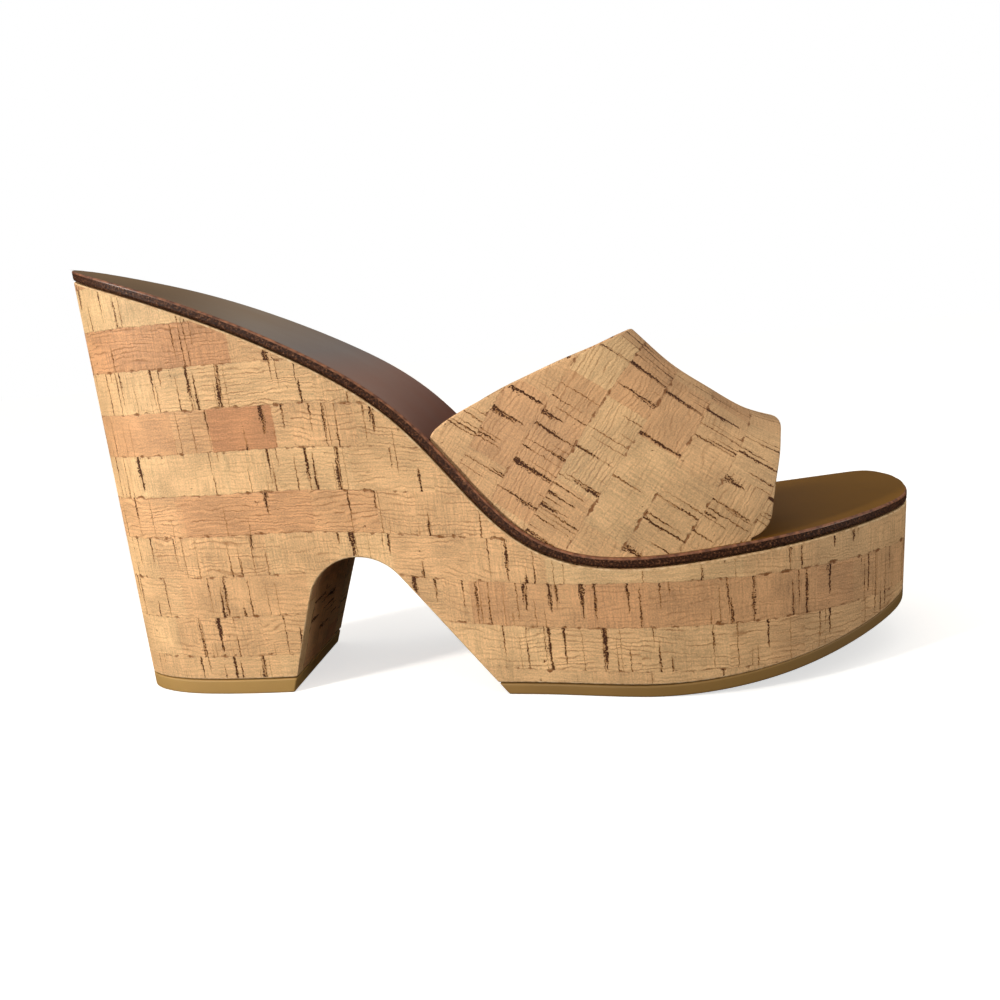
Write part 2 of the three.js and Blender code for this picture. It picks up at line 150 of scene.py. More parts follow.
# %% Smooth curves through the tables
def smooth_curve(knots):
    """The natural cubic spline through (position, value) pairs."""
    count = len(knots)
    bend, work = [0.0] * count, [0.0] * count
    for i in range(1, count - 1):
        before = knots[i][0] - knots[i - 1][0]
        after = knots[i + 1][0] - knots[i][0]
        share = before / (before + after)
        pivot = share * bend[i - 1] + 2
        rise = (knots[i + 1][1] - knots[i][1]) / after
        fall = (knots[i][1] - knots[i - 1][1]) / before
        bend[i] = (share - 1) / pivot
        work[i] = (6 * (rise - fall) / (before + after) - share * work[i - 1]) / pivot
    for i in range(count - 2, -1, -1):
        bend[i] = bend[i] * bend[i + 1] + work[i]
    bend[-1] = 0

    def at(position):
        i = 0
        while i < count - 2 and position > knots[i + 1][0]:
            i += 1
        span = knots[i + 1][0] - knots[i][0]
        far = (position - knots[i][0]) / span
        near = 1 - far
        curve = (near**3 - near) * bend[i] + (far**3 - far) * bend[i + 1]
        return near * knots[i][1] + far * knots[i + 1][1] + curve * span * span / 6

    return at


def clamp(value, low=0.0, high=1.0):
    return min(max(value, low), high)


def smooth_step(value, low, high):
    share = clamp((value - low) / (high - low))
    return share * share * (3 - 2 * share)


def turn_of(along):
    """A place along the shoe as a half turn, so that the outline closes round at both ends."""
    return math.acos(1 - 2 * clamp(along)) / math.pi


def along_of(turn):
    return (1 - math.cos(math.pi * turn)) / 2


# %% Footbed, ground and outline
footbed_curve = smooth_curve([
    (along * LENGTH, PLATFORM_HEIGHT + climb * (HEEL_HEIGHT - PLATFORM_HEIGHT) + lift * TOE_LIFT)
    for along, climb, lift in FOOTBED
])


def footbed_top(x):
    return footbed_curve(clamp(x, 0, LENGTH))


def slope_factor(x):
    """How much taller a layer measures upright where the footbed slopes."""
    slope = footbed_top(x + 0.5) - footbed_top(x - 0.5)
    return math.sqrt(1 + slope * slope)


def insole_underside(x):
    return footbed_top(x) - INSOLE_THICKNESS * slope_factor(x)


def wedge_top(x):
    return footbed_top(x) - (INSOLE_THICKNESS + GAP) * slope_factor(x)


def ground_line(x):
    share = max(0, (x - SPRING_START) / (TOE_BASE - SPRING_START))
    return TOE_SPRING * share**SPRING_POWER


def outline_side(column, seat, ball):
    widths = {"seat": seat, "ball": ball}
    tip = (1 if column == 3 else -1) * TOE_TIP * ball / 2
    knots = [(turn_of(row[0]), row[column] * widths[row[1]] / 2) for row in OUTLINE]
    return smooth_curve([(0, 0), *knots, (1, tip)])


# Each side's direction, its footbed outline and its outline on the ground
SIDES = {}
for side, sign, column in (("outer", -1, 2), ("inner", 1, 3)):
    top = outline_side(column, SEAT_WIDTH, BALL_WIDTH)
    ground = outline_side(column, HEEL_BASE_WIDTH, SOLE_WIDTH)
    SIDES[side] = (sign, top, ground)


def wall_point(side, turn, height):
    """A place on the side wall, which is ruled from the ground outline up to the footbed's edge."""
    sign, top, ground = SIDES[side]
    ground_x = HEEL_LEAN + along_of(turn) * (TOE_BASE - HEEL_LEAN)
    top_x = along_of(turn) * LENGTH
    low = Vector((ground_x, sign * ground(turn), ground_line(ground_x)))
    high = Vector((top_x, sign * top(turn), footbed_top(top_x)))
    return low.lerp(high, (height - low.z) / (high.z - low.z))


def turn_at(x, height):
    """The turn whose ruling passes through a place seen from the side."""
    low, high = 0.0, 1.0
    for _ in range(40):
        middle = (low + high) / 2
        if wall_point("outer", middle, height).x < x:
            low = middle
        else:
            high = middle
    return (low + high) / 2


widest = {
    side: max(SIDES[side][1](step / 1000) for step in range(1001)) for side in SIDES
}
ORIGIN = Vector((LENGTH / 2, (widest["inner"] - widest["outer"]) / 2, 0))


def to_frame(point):
    """From the shoe's own millimetres, counted from the heel's back, to metres in the frame."""
    return (point - ORIGIN) * MM


print("the widest place is", round(widest["outer"] + widest["inner"], 2), "mm across")

# %% [markdown]
# ## Modelling by rolling up a grid
# Each layer of a sole is a stack of upright rings that follow each other from heel to toe. By hand
# one could extrude a circle again and again. A flat grid gives the same mesh in one go: its
# columns go once round the ring, its rows go from heel to toe, and rolling it up means putting each
# corner in its place. The seam is merged, the two ends are filled, and the sharp edges are found by
# their angle and bevelled. The grid also brings a UV map, which is laid out in real metres here, so
# that a cork sheet can later follow the wall.


# %% Helpers for meshes
SMOOTH_UNDER = math.radians(38)


def choose(piece):
    bpy.ops.object.select_all(action="DESELECT")
    piece.select_set(True)
    bpy.context.view_layer.objects.active = piece


def modify(piece, kind, **settings):
    """Adds a modifier, sets it and applies it."""
    choose(piece)
    bpy.ops.object.modifier_add(type=kind)
    modifier = piece.modifiers[-1]
    for name, value in settings.items():
        setattr(modifier, name, value)
    bpy.ops.object.modifier_apply(modifier=modifier.name)


def start_edit(piece):
    choose(piece)
    bpy.ops.object.mode_set(mode="EDIT")
    bpy.ops.mesh.select_mode(type="VERT")
    bpy.ops.mesh.select_all(action="DESELECT")


def add_grid(name, rows, sheet):
    """A grid primitive whose corners are laid at rows[row][column]. sheet gives each corner's UV."""
    columns = len(rows[0]) - 1
    bpy.ops.object.select_all(action="DESELECT")
    bpy.ops.mesh.primitive_grid_add(x_subdivisions=columns, y_subdivisions=len(rows) - 1, size=1)
    piece = bpy.context.object
    piece.name = piece.data.name = name
    for corner, place in zip(piece.data.vertices, (place for row in rows for place in row)):
        corner.co = to_frame(place)
    layer = piece.data.uv_layers[0]
    layer.name = "sheet"
    for face in piece.data.polygons:
        for loop in face.loop_indices:
            row, column = divmod(piece.data.loops[loop].vertex_index, columns + 1)
            layer.data[loop].uv = Vector(sheet(row, column, face.index % columns)) * MM
    return piece


def close_ends(piece):
    start_edit(piece)
    bpy.ops.mesh.select_all(action="SELECT")
    bpy.ops.mesh.remove_doubles(threshold=1e-7)
    bpy.ops.mesh.select_all(action="SELECT")
    bpy.ops.mesh.fill_holes(sides=0)
    bpy.ops.mesh.select_all(action="SELECT")
    bpy.ops.mesh.normals_make_consistent(inside=False)
    bpy.ops.object.mode_set(mode="OBJECT")


def round_edges(piece, radius, sharpness=40, segments=3, slot=-1):
    """Bevels every edge that is sharper than sharpness. The new faces may take a material slot."""
    start_edit(piece)
    bpy.ops.mesh.select_mode(type="EDGE")
    bpy.ops.mesh.edges_select_sharp(sharpness=math.radians(sharpness))
    bpy.ops.mesh.bevel(
        offset=radius * MM, segments=segments, profile=0.5, clamp_overlap=False, material=slot
    )
    bpy.ops.object.mode_set(mode="OBJECT")


def smooth(piece):
    """Smooth shading, with the flat faces' own normals kept beside each rounded edge."""
    choose(piece)
    bpy.ops.object.shade_smooth_by_angle(angle=SMOOTH_UNDER)
    modify(piece, "WEIGHTED_NORMAL", keep_sharp=True)


def finish_piece(piece, node, slot, *materials):
    """The piece takes its node's place, rides on the one body and gets its materials."""
    for index, material in enumerate(materials):
        if index < len(piece.data.materials):
            piece.data.materials[index] = material
        else:
            piece.data.materials.append(material)
    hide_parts(node)
    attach(piece, "root")
    low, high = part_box(node)
    size = [round(side / MM, 1) for side in high - low]
    print(piece.name, len(piece.data.polygons), "faces, its node measures", size, "mm")


# %% Rings of a layer
WALL_ROWS = 8
ACROSS = 10


def ring(turns, low, high, dish=0.0):
    """One upright ring: up the outer wall, across, down the inner wall and back underneath."""
    heights = [low + (high - low) * row / WALL_ROWS for row in range(WALL_ROWS + 1)]
    outer = [wall_point("outer", turns(height), height) for height in heights]
    inner = [wall_point("inner", turns(height), height) for height in reversed(heights)]
    over, under = [], []
    for step in range(1, ACROSS):
        share = step / ACROSS
        sink = dish * math.sin(math.pi * turns(high)) * (1 - (2 * share - 1) ** 2)
        over.append(outer[-1].lerp(inner[0], share) - Vector((0, 0, sink)))
        under.append(inner[-1].lerp(outer[0], share))
    return [*outer, *over, *inner, *under, outer[0]]


TAPE_HEIGHT = 30


def around(side, turn):
    """Distance round the shoe from the middle of the heel's back, as a tape would measure it."""
    distances = AROUND[side]
    place = clamp(turn) * (len(distances) - 1)
    index = min(int(place), len(distances) - 2)
    return distances[index] + (distances[index + 1] - distances[index]) * (place - index)


def measure_around(side):
    distances, before = [0.0], None
    for step in range(401):
        here = wall_point(side, step / 400, TAPE_HEIGHT)
        here.z = 0
        if before is not None:
            distances.append(distances[-1] + (here - before).length)
        before = here
    return distances


AROUND = {side: measure_around(side) for side in SIDES}
ONCE_ROUND = AROUND["outer"][-1] + AROUND["inner"][-1]
print("once round the shoe is", round(ONCE_ROUND), "mm")

# %% [markdown]
# The cork sheet is wrapped round the wedge from the middle of the heel's back: first along the
# outer side, round the toe, and back along the inner side, and its joint stands where it began.
# Under the arch and on the breast the sheet runs straight across.

# %% Lay out the sheet
FORE_STRIPS_DROP = 4.6


def sheet_height(point):
    """Height on the wrap. Towards the forefoot the strips come down by a few millimetres."""
    return point.z + FORE_STRIPS_DROP * smooth_step(point.x, 56, 136)


def layer_sheet(rings, turns_of_row):
    last_outer = WALL_ROWS
    last_over = WALL_ROWS + ACROSS
    last_inner = last_over + WALL_ROWS
    run = [0.0]
    for before, after in zip(rings, rings[1:]):
        run.append(run[-1] + (after[0] - before[0]).length)

    def sheet(row, column, face_column):
        point = rings[row][column]
        turn = turns_of_row[row](point.z)
        if face_column < last_outer:
            return around("outer", turn), sheet_height(point)
        if last_over <= face_column < last_inner:
            return ONCE_ROUND - around("inner", turn), sheet_height(point)
        if face_column < last_over:
            return point.x, point.y + 2 * SEAT_WIDTH
        return run[row], point.y - 2 * SEAT_WIDTH

    return sheet


def layer(name, stations):
    """stations holds, from heel to toe, a turn for each height, a low and a high edge, and a dish."""
    rings = [ring(*station) for station in stations]
    piece = add_grid(name, rings, layer_sheet(rings, [station[0] for station in stations]))
    close_ends(piece)
    return piece


def spread(start, end, count):
    return [start + (end - start) * step / count for step in range(count + 1)]


# %% [markdown]
# ## Wedge
# The wedge is a light core wrapped in cork. Seen from the side an arch is cut right through it:
# a straight breast behind, a straight slope in front and a round top between them. The rings follow
# that arch as their lower edge, so its rim is a clean row of edges that the bevel can round.

# %% Wedge
breast_foot = Vector((HEEL_LEAN + HEEL_BASE_LENGTH, 0))
slope_foot = Vector((ARCH_END, OUTSOLE_THICKNESS))
breast_way = Vector((math.sin(BREAST_LEAN), math.cos(BREAST_LEAN)))
slope_way = Vector((-math.sin(ARCH_SLOPE_LEAN), math.cos(ARCH_SLOPE_LEAN)))
feet = slope_foot - breast_foot
apex_run = (feet.x * slope_way.y - feet.y * slope_way.x) / (
    breast_way.x * slope_way.y - breast_way.y * slope_way.x
)
apex = breast_foot + breast_way * apex_run
half_angle = (BREAST_LEAN + ARCH_SLOPE_LEAN) / 2
tangent_run = ARCH_RADIUS / math.tan(half_angle)
rear_tangent = apex - breast_way * tangent_run
front_tangent = apex - slope_way * tangent_run
arch_centre = rear_tangent + Vector((breast_way.y, -breast_way.x)) * ARCH_RADIUS


def breast_x(height):
    return breast_foot.x + height * math.tan(BREAST_LEAN)


def slope_x(height):
    return slope_foot.x - (height - slope_foot.y) * math.tan(ARCH_SLOPE_LEAN)


def arch_line(steps):
    """Places along the arch from the breast's foot over the round top to the slope's foot."""
    rear = Vector((breast_x(LIFT_THICKNESS + GAP), LIFT_THICKNESS + GAP))
    front = Vector((slope_x(OUTSOLE_THICKNESS + GAP), OUTSOLE_THICKNESS + GAP))
    places = [rear.lerp(rear_tangent, share) for share in spread(0, 1, steps)]
    for angle in spread(math.pi - BREAST_LEAN, ARCH_SLOPE_LEAN, 2 * steps)[1:-1]:
        places.append(arch_centre + Vector((math.cos(angle), math.sin(angle))) * ARCH_RADIUS)
    places += [front_tangent.lerp(front, share) for share in spread(0, 1, steps)]
    return places


def fixed(turn):
    return lambda height: turn


def wedge_station(turn, low):
    return fixed(turn), low, wedge_top(along_of(turn) * LENGTH)


def above_ground(turn, thickness):
    return ground_line(HEEL_LEAN + along_of(turn) * (TOE_BASE - HEEL_LEAN)) + thickness


arch = arch_line(14)
arch_turns = [turn_at(place.x, place.y) for place in arch]
lift_top = LIFT_THICKNESS + GAP
sole_top = OUTSOLE_THICKNESS + GAP
stations = [wedge_station(turn, lift_top) for turn in spread(END_TURN, arch_turns[0], 60)[:-1]]
stations += [wedge_station(turn, place.y) for turn, place in zip(arch_turns, arch)]
stations += [
    wedge_station(turn, above_ground(turn, sole_top))
    for turn in spread(arch_turns[-1], 1 - END_TURN, 90)[1:]
]
wedge = layer("cork_wedge", stations)
CUT_EDGE_RADIUS = 0.5
for _ in range(2):
    wedge.data.materials.append(None)
round_edges(wedge, CUT_EDGE_RADIUS, slot=1)
smooth(wedge)
print("arch top at", round(max(place.y for place in arch), 1), "mm")

# %% [markdown]
# ## Heel lift and outsole
# Both are moulded rubber, glued under the cork. Each is a thin layer of the same rings. Where the
# arch cuts it, its end leans with the breast or the slope, so the turn depends on the height there.

# %% Heel lift and outsole


def breast_turn(height):
    return turn_at(breast_x(height), height)


def slope_turn(height):
    return turn_at(slope_x(height), height)


def towards(share, rear_turn, front_turn):
    """A turn for each height, part of the way from one leaning end to the other."""
    return lambda height: rear_turn(height) + (front_turn(height) - rear_turn(height)) * share


WALL_ROWS = 3
lift_stations = [
    (towards(share, fixed(END_TURN), breast_turn), 0.0, LIFT_THICKNESS)
    for share in spread(0, 1, 60)
]
heel_lift = layer("rubber_heel_lift", lift_stations)
RUBBER_RIM = 0.45
round_edges(heel_lift, RUBBER_RIM)
smooth(heel_lift)

sole_stations = []
for share in spread(0, 1, 110):
    turns = towards(share, slope_turn, fixed(1 - END_TURN))
    ground = above_ground(turns(0.0), 0.0)
    sole_stations.append((turns, ground, ground + OUTSOLE_THICKNESS))
outsole = layer("rubber_outsole", sole_stations)
round_edges(outsole, RUBBER_RIM)
smooth(outsole)

# %% [markdown]
# ## Insole
# The insole is a thin board under smooth leather, with a narrow band of grained leather round its
# edge. Two slots near the edges take the legs of the upper. They are cut with a Boolean modifier,
# each by a small block that is rolled from a grid as well. The side faces and the rounded upper rim
# get material slots of their own: the band is grained, and the rim is paler as a painted highlight.


# %% Places of the upper's legs
def leg_point(side, x, height, inset):
    """A leg stands in from the footbed's edge by the slot's rim and a clearance."""
    sign, top, _ = SIDES[side]
    slope = sign * (top(turn_of((x + 0.5) / LENGTH)) - top(turn_of((x - 0.5) / LENGTH)))
    outward = Vector((-slope * sign, sign)).normalized()
    depth = SLOT_RIM + GAP + inset
    edge = sign * top(turn_of(x / LENGTH))
    return Vector((x - outward.x * depth, edge - outward.y * depth, height))


BAND_STEPS = 34


def slot_cutter(side):
    rows = []
    insets = (-GAP, UPPER_WALL + GAP) if side == "outer" else (UPPER_WALL + GAP, -GAP)
    for x in spread(BAND_REAR - GAP, BAND_FRONT - BAND_CORNER + GAP, BAND_STEPS):
        low, high = insole_underside(x) - 2, footbed_top(x) + 2
        corners = ((low, 0), (high, 0), (high, 1), (low, 1), (low, 0))
        rows.append([leg_point(side, x, height, insets[index]) for height, index in corners])
    cutter = add_grid("cutter_" + side, rows, lambda row, column, face: (row, column))
    close_ends(cutter)
    return cutter


# %% Insole
WALL_ROWS = 4
ACROSS = 16
insole_stations = [
    (
        fixed(turn),
        insole_underside(along_of(turn) * LENGTH),
        footbed_top(along_of(turn) * LENGTH),
        FOOTBED_DISH,
    )
    for turn in spread(END_TURN, 1 - END_TURN, 150)
]
insole = layer("leather_insole", insole_stations)
LEATHER_RIM = 0.6
RIM_SLOT = 2
for _ in range(3):
    insole.data.materials.append(None)
for face in insole.data.polygons:
    face.material_index = int(abs(face.normal.z) < 0.5)
# The upper rim's bevel takes the paler leather of RIM_SLOT, a painted highlight; the lower rim goes
# back to the band
round_edges(insole, LEATHER_RIM, sharpness=50, slot=RIM_SLOT)
for face in insole.data.polygons:
    if face.material_index == RIM_SLOT and face.normal.z < 0:
        face.material_index = 1
for side in SIDES:
    cutter = slot_cutter(side)
    modify(insole, "BOOLEAN", object=cutter, solver="EXACT")
    bpy.data.objects.remove(cutter)
smooth(insole)

# %% [markdown]
# ## Upper
# The upper is one broad band over the foot. It is modelled as a single sheet, drawn out from leg to
# leg over the instep, and Solidify gives it the two millimetres of cork, backing and lining. Its UV
# map is the flat sheet that it was cut from, unwrapped at its real size.

# %% The band's lines
instep_curve = smooth_curve(INSTEP)
rear_curve = smooth_curve([(turn, rear) for turn, rear, front in BAND_EDGES])
front_curve = smooth_curve([(turn, front) for turn, rear, front in BAND_EDGES])


def instep_line(x):
    share = instep_curve(clamp((x - BAND_REAR) / (BAND_TIP - BAND_REAR)))
    return footbed_top(x) + TOE_OPENING_HEIGHT + share * (INSTEP_HEIGHT - TOE_OPENING_HEIGHT)


def rise_of(turn):
    return math.sin(turn * math.pi / 2) ** (2 / BAND_FULLNESS)


def corner_cut(turn):
    """The lower front corner of each leg is rounded."""
    height = rise_of(turn) * (instep_line(BAND_FRONT) - footbed_top(BAND_FRONT))
    if height >= BAND_CORNER:
        return 0
    return BAND_CORNER - math.sqrt(BAND_CORNER**2 - (BAND_CORNER - height) ** 2)


def band_x(turn, share):
    rear = BAND_REAR + rear_curve(turn) * (BAND_PEAK - BAND_REAR)
    front = BAND_FRONT + front_curve(turn) * (BAND_TIP - BAND_FRONT) - corner_cut(turn)
    return rear + (front - rear) * share


def band_point(side, turn, x):
    """A place on the band's full round section, turn being 0 at a leg and 1 at the crown."""
    base = footbed_top(x) + LEG_RISE
    edge = leg_point(side, x, base, 0)
    opposite = leg_point("inner" if side == "outer" else "outer", x, base, 0)
    middle = (edge.y + opposite.y) / 2 + CROWN_SHIFT
    sway = max(math.cos(turn * math.pi / 2), 0) ** (2 / BAND_FULLNESS)
    return Vector((
        x + (edge.x - x) * sway,
        middle + (edge.y - middle) * sway,
        base + rise_of(turn) * (instep_line(x) - base),
    ))


BAND_HALF_ROWS = 34
ROW_CROWDING = 1.8


def leg_row(side):
    places = [band_x(0, share) for share in spread(0, 1, BAND_STEPS)]
    return [leg_point(side, x, wedge_top(x) + GAP * slope_factor(x), 0) for x in places]


def arch_row(side, turn):
    return [band_point(side, turn, band_x(turn, share)) for share in spread(0, 1, BAND_STEPS)]


# %% Upper as a single sheet
# The rows crowd near the legs, where the section turns most
turns = [(step / BAND_HALF_ROWS) ** ROW_CROWDING for step in range(BAND_HALF_ROWS + 1)]
band_rows = [leg_row("outer")]
band_rows += [arch_row("outer", turn) for turn in turns]
band_rows += [arch_row("inner", turn) for turn in reversed(turns[:-1])]
band_rows += [leg_row("inner")]
upper = add_grid("cork_upper", band_rows, lambda row, column, face_column: (0, 0))
outer_faces = len(upper.data.polygons)
for _ in range(2):
    upper.data.materials.append(None)
start_edit(upper)
bpy.ops.mesh.select_all(action="SELECT")
bpy.ops.mesh.normals_make_consistent(inside=False)
bpy.ops.object.mode_set(mode="OBJECT")
crown = max(upper.data.polygons, key=lambda face: face.center.z)
if crown.normal.z < 0:
    upper.data.flip_normals()


# %% Flatten the sheet
def flatten(piece, rear, front):
    """Unwraps the band as the flat sheet it was cut from, at its real size.

    The sheet is turned so that, from the corner rear to the corner front, it lies as in a side view.
    """
    start_edit(piece)
    bpy.ops.mesh.select_all(action="SELECT")
    bpy.ops.uv.unwrap(method="ANGLE_BASED", margin=0)
    bpy.ops.object.mode_set(mode="OBJECT")
    loops = piece.data.loops
    corners = [Vector(corner.uv) for corner in piece.data.uv_layers[0].data]
    place = {loops[index].vertex_index: corner for index, corner in enumerate(corners)}
    flat_area = 0.0
    for face in piece.data.polygons:
        ring_corners = [corners[index] for index in face.loop_indices]
        for before, after in zip(ring_corners, ring_corners[1:] + ring_corners[:1]):
            flat_area += (before.x * after.y - after.x * before.y) / 2
    real_area = sum(face.area for face in piece.data.polygons)
    scale = math.sqrt(real_area / abs(flat_area))
    chord = piece.data.vertices[front].co - piece.data.vertices[rear].co
    flat_chord = place[front] - place[rear]
    turn = math.atan2(chord.z, chord.x) - math.atan2(flat_chord.y, flat_chord.x)
    rotation = Matrix.Rotation(turn, 2)
    for corner in piece.data.uv_layers[0].data:
        corner.uv = rotation @ (Vector(corner.uv) - place[rear]) * scale
    print("the sheet of the band measures", round(real_area / MM**2 / 100, 1), "square cm")


SIDE_ROW = BAND_HALF_ROWS // 2
flatten(upper, SIDE_ROW * (BAND_STEPS + 1), SIDE_ROW * (BAND_STEPS + 1) + BAND_STEPS)

# %% Thicken the upper
modify(upper, "SOLIDIFY", thickness=UPPER_WALL * MM, offset=-1, use_even_offset=True)
TURNED_EDGE = 2
for face in upper.data.polygons:
    if outer_faces <= face.index < 2 * outer_faces:
        column = (face.index - outer_faces) % BAND_STEPS
        inside = TURNED_EDGE <= column < BAND_STEPS - TURNED_EDGE
        face.material_index = int(inside)
round_edges(upper, LEATHER_RIM, sharpness=55)
smooth(upper)
print("the band's wall is", UPPER_WALL, "mm thick")

# %% [markdown]
# ## Materials
# Colours are written as sRGB hex values, as in a paint program, and one function turns them to the
# linear values that Blender mixes. One more function adds a node, with its settings and its links.
# Inputs go by name or by number: a Map Range takes its value, from min, from max, to min and to max
# as 0 to 4, and a colour Mix takes its two colours as 6 and 7.


# %% Helpers for materials
def linear(hex_colour):
    channels = [int(hex_colour[i : i + 2], 16) / 255 for i in (0, 2, 4)]
    return [c / 12.92 if c <= 0.04045 else ((c + 0.055) / 1.055) ** 2.4 for c in channels] + [1]


def add(tree, kind, inputs=(), **settings):
    """Adds a shader node. Each input is a value, another node, or one of its outputs."""
    node = tree.nodes.new("ShaderNode" + kind)
    for name, value in settings.items():
        setattr(node, name, value)
    for name, value in inputs.items() if isinstance(inputs, dict) else enumerate(inputs):
        if isinstance(value, bpy.types.Node):
            value = value.outputs[0]
        if isinstance(value, bpy.types.NodeSocket):
            tree.links.new(value, node.inputs[name])
        else:
            node.inputs[name].default_value = value
    return node


def set_stops(node, stops):
    """stops are (position, hex colour) pairs for a colour ramp."""
    elements = node.color_ramp.elements
    while len(elements) > 1:
        elements.remove(elements[-1])
    for index, (position, colour) in enumerate(stops):
        element = elements[0] if index == 0 else elements.new(position)
        element.position = position
        element.color = linear(colour)


def new_material(name):
    material = bpy.data.materials.new(name)
    material.use_nodes = True
    material.node_tree.nodes.clear()
    tree = material.node_tree
    shader = add(tree, "BsdfPrincipled")
    add(tree, "OutputMaterial", {"Surface": shader.outputs[0]})
    return material, tree, shader


# %% [markdown]
# ## Cork
# The wrap is natural cork veneer: strips about 12 mm high, each laid from blocks of bark that differ
# in tone. A block shows fine wavy growth lines along the strip, and dark lenticels, the bark's
# breathing pores, that cross it as upright streaks. The surface is sealed and nearly matt.


# %% Chart of the wrap
STRIP = 11.75
STRIP_FOOT = -0.3
CHART_RUN = 277.0
# For each strip from the ground up: where a block ends, in mm from the heel's back, and how pink,
# how lined with growth and how streaked it is.
WRAP_CHART = [
    [(60, 0.30, 0.4, 0.5), (150, 0.20, 0.3, 0.3), (277, 0.25, 0.4, 0.4)],
    [(30, 0.15, 0.5, 0.3), (75, 0.35, 0.7, 0.5), (130, 0.25, 0.6, 0.4), (196, 0.20, 0.9, 0.9),
     (277, 0.30, 0.8, 0.6)],
    [(34, 0.30, 0.5, 0.6), (72, 0.45, 0.4, 0.5), (118, 0.30, 0.5, 0.6), (150, 0.55, 0.4, 0.9),
     (182, 0.68, 0.5, 1.0), (222, 0.62, 0.4, 0.8), (277, 0.50, 0.4, 1.0)],
    [(28, 0.20, 0.4, 0.5), (62, 0.35, 0.9, 0.7), (98, 0.20, 0.6, 0.5), (140, 0.40, 0.6, 0.3),
     (190, 0.10, 0.3, 0.3), (277, 0.25, 0.5, 0.4)],
    [(40, 0.55, 0.9, 0.5), (96, 0.65, 1.0, 0.3), (150, 0.35, 0.8, 0.2), (277, 0.50, 0.8, 0.5)],
    [(26, 0.20, 0.2, 0.4), (56, 0.10, 0.3, 0.5), (90, 0.20, 0.5, 0.6), (126, 0.30, 0.7, 0.4),
     (277, 0.15, 0.6, 0.6)],
    [(42, 0.70, 0.3, 0.2), (52, 0.50, 0.5, 0.9), (71, 1.00, 0.3, 0.4), (110, 0.30, 0.9, 0.6),
     (277, 0.60, 0.6, 0.5)],
    [(37, 0.15, 0.4, 0.9), (52, 0.20, 0.5, 1.0), (90, 0.25, 1.0, 0.5), (277, 0.20, 0.8, 0.6)],
    [(62, 0.80, 0.9, 0.2), (277, 0.35, 0.6, 0.5)],
    [(277, 0.05, 0.2, 0.5)],
]

# %% [markdown]
# Outside the chart, blocks of about 21 mm follow each other at random. Streaks come in three sorts,
# broad ones, middling ones and hair-fine ones, which keeps them from looking like a comb.

# %% Blocks, streaks and growth lines
BLOCK = 21.0
CORK_TONES = [
    (0.00, "E3BD8A"), (0.30, "DBB07F"), (0.60, "D4A374"), (0.85, "CA9569"), (1.00, "C38C61"),
]
GROWTH_SPACING = 1.2
# Three sorts of streak: spacing and widest half width in mm, the share of cells that hold one in a
# fully streaked block, and how much of the strip's height a streak may fall short
STREAK_GROUP = 15.0
STREAKS = [(7.3, 0.72, 0.44, 0.8), (3.6, 0.34, 0.46, 0.85), (2.1, 0.17, 0.40, 0.9)]


def bark_blocks(tree, across, strip, chart):
    """How pink, grown and streaked the bark is at a place, and three chances for its block."""
    chance = add(tree, "TexWhiteNoise", {"W": strip}, noise_dimensions="1D")
    run = add(tree, "Math", (chance, 900.0, across), operation="MULTIPLY_ADD")
    place = add(tree, "Math", (run, BLOCK), operation="DIVIDE")
    block = add(tree, "TexVoronoi", {"W": place, "Scale": 1.0}, voronoi_dimensions="1D")
    chances = block.outputs["Color"]
    if chart is None:
        mild = {0: chances, 1: (0.36, 0.8, 0.8), 2: (0.18, 0.2, 0.36)}
        return run, add(tree, "VectorMath", mild, operation="MULTIPLY_ADD"), chances
    share = add(tree, "Math", (across, CHART_RUN), operation="DIVIDE")
    turn = add(tree, "Math", (share,), operation="FRACT")
    charted = chances
    for index, blocks in enumerate(chart):
        ramp = add(tree, "ValToRGB", {0: turn})
        ramp.color_ramp.interpolation = "CONSTANT"
        start = 0.0
        elements = ramp.color_ramp.elements
        for number, (end, *amounts) in enumerate(blocks):
            element = elements[number] if number < 2 else elements.new(start)
            element.position = start
            element.color = (*amounts, 1)
            start = end / CHART_RUN
        if len(blocks) == 1:
            elements.remove(elements[1])
        here = add(tree, "Math", (strip, float(index), 0.5), operation="COMPARE")
        charted = add(tree, "Mix", {"Factor": here, 6: charted, 7: ramp}, data_type="RGBA").outputs[2]
    return run, charted, chances


